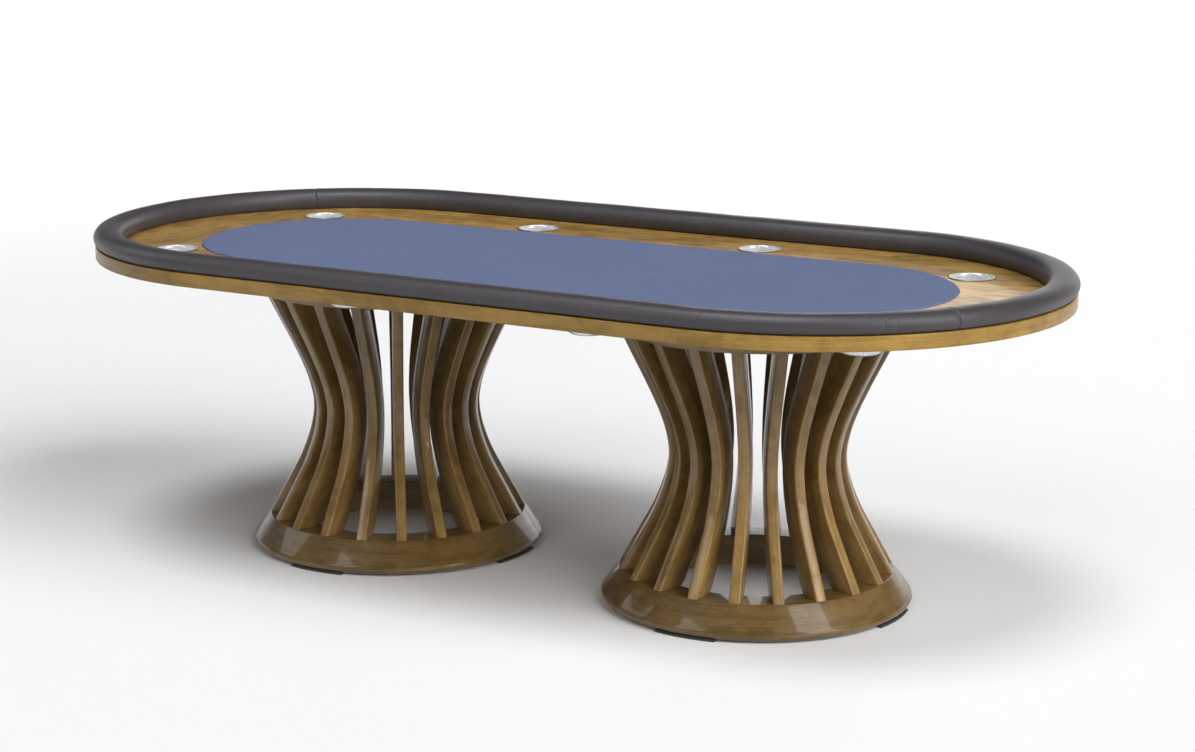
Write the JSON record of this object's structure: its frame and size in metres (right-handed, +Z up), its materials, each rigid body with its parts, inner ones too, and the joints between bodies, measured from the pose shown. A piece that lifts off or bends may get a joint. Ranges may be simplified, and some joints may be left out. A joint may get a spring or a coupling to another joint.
{
  "type": "poker table",
  "caption": "Oval poker table with a padded rail, wooden racetrack with drop-in steel cup holders, a raised cloth field and two hourglass pedestals of curved slats.",
  "frame": {"origin": "on the floor under the middle of the table, at the bottom centre of its box", "axes": "+X along the table's length, +Y across it, +Z up"},
  "size_m": [2.3954, 1.1654, 0.7695],
  "materials": {
    "rail_vinyl": "matt charcoal vinyl over foam",
    "skirt_wood": "golden brown satin lacquer",
    "racetrack_wood": "golden brown satin lacquer",
    "pedestal_wood": "dark olive brown gloss lacquer",
    "deck_plywood": "plain plywood",
    "play_cloth": "slate blue speed cloth on a thin board",
    "cup_steel": "bright stainless steel",
    "foot_rubber": "dark grey, dull"
  },
  "bodies": {
    "table": {"skirt": "skirt_wood", "under_deck": "deck_plywood", "racetrack": "racetrack_wood", "playing_board": "play_cloth", "rail_core": "deck_plywood", "rail_pad": "rail_vinyl", "left_base_ring": "pedestal_wood", "left_top_ring": "pedestal_wood", "left_foot_pads": "foot_rubber", "left_slat_01": "pedestal_wood", "left_slat_02": "pedestal_wood", "left_slat_03": "pedestal_wood", "left_slat_04": "pedestal_wood", "left_slat_05": "pedestal_wood", "left_slat_06": "pedestal_wood", "left_slat_07": "pedestal_wood", "left_slat_08": "pedestal_wood", "left_slat_09": "pedestal_wood", "left_slat_10": "pedestal_wood", "left_slat_11": "pedestal_wood", "left_slat_12": "pedestal_wood", "left_slat_13": "pedestal_wood", "left_slat_14": "pedestal_wood", "left_slat_15": "pedestal_wood", "left_slat_16": "pedestal_wood", "left_slat_17": "pedestal_wood", "left_slat_18": "pedestal_wood", "left_slat_19": "pedestal_wood", "left_slat_20": "pedestal_wood", "right_base_ring": "pedestal_wood", "right_top_ring": "pedestal_wood", "right_foot_pads": "foot_rubber", "right_slat_01": "pedestal_wood", "right_slat_02": "pedestal_wood", "right_slat_03": "pedestal_wood", "right_slat_04": "pedestal_wood", "right_slat_05": "pedestal_wood", "right_slat_06": "pedestal_wood", "right_slat_07": "pedestal_wood", "right_slat_08": "pedestal_wood", "right_slat_09": "pedestal_wood", "right_slat_10": "pedestal_wood", "right_slat_11": "pedestal_wood", "right_slat_12": "pedestal_wood", "right_slat_13": "pedestal_wood", "right_slat_14": "pedestal_wood", "right_slat_15": "pedestal_wood", "right_slat_16": "pedestal_wood", "right_slat_17": "pedestal_wood", "right_slat_18": "pedestal_wood", "right_slat_19": "pedestal_wood", "right_slat_20": "pedestal_wood"},
    "cup_holder_01": {"cup_holder_01": "cup_steel"},
    "cup_holder_02": {"cup_holder_02": "cup_steel"},
    "cup_holder_03": {"cup_holder_03": "cup_steel"},
    "cup_holder_04": {"cup_holder_04": "cup_steel"},
    "cup_holder_05": {"cup_holder_05": "cup_steel"},
    "cup_holder_06": {"cup_holder_06": "cup_steel"},
    "cup_holder_07": {"cup_holder_07": "cup_steel"},
    "cup_holder_08": {"cup_holder_08": "cup_steel"}
  },
  "joints": [
    {"name": "cup_holder_01_lift", "type": "slide", "parent": "table", "child": "cup_holder_01", "axis": [0, 0, 1], "range_m": [0, 0.12]},
    {"name": "cup_holder_02_lift", "type": "slide", "parent": "table", "child": "cup_holder_02", "axis": [0, 0, 1], "range_m": [0, 0.12]},
    {"name": "cup_holder_03_lift", "type": "slide", "parent": "table", "child": "cup_holder_03", "axis": [0, 0, 1], "range_m": [0, 0.12]},
    {"name": "cup_holder_04_lift", "type": "slide", "parent": "table", "child": "cup_holder_04", "axis": [0, 0, 1], "range_m": [0, 0.12]},
    {"name": "cup_holder_05_lift", "type": "slide", "parent": "table", "child": "cup_holder_05", "axis": [0, 0, 1], "range_m": [0, 0.12]},
    {"name": "cup_holder_06_lift", "type": "slide", "parent": "table", "child": "cup_holder_06", "axis": [0, 0, 1], "range_m": [0, 0.12]},
    {"name": "cup_holder_07_lift", "type": "slide", "parent": "table", "child": "cup_holder_07", "axis": [0, 0, 1], "range_m": [0, 0.12]},
    {"name": "cup_holder_08_lift", "type": "slide", "parent": "table", "child": "cup_holder_08", "axis": [0, 0, 1], "range_m": [0, 0.12]}
  ]
}
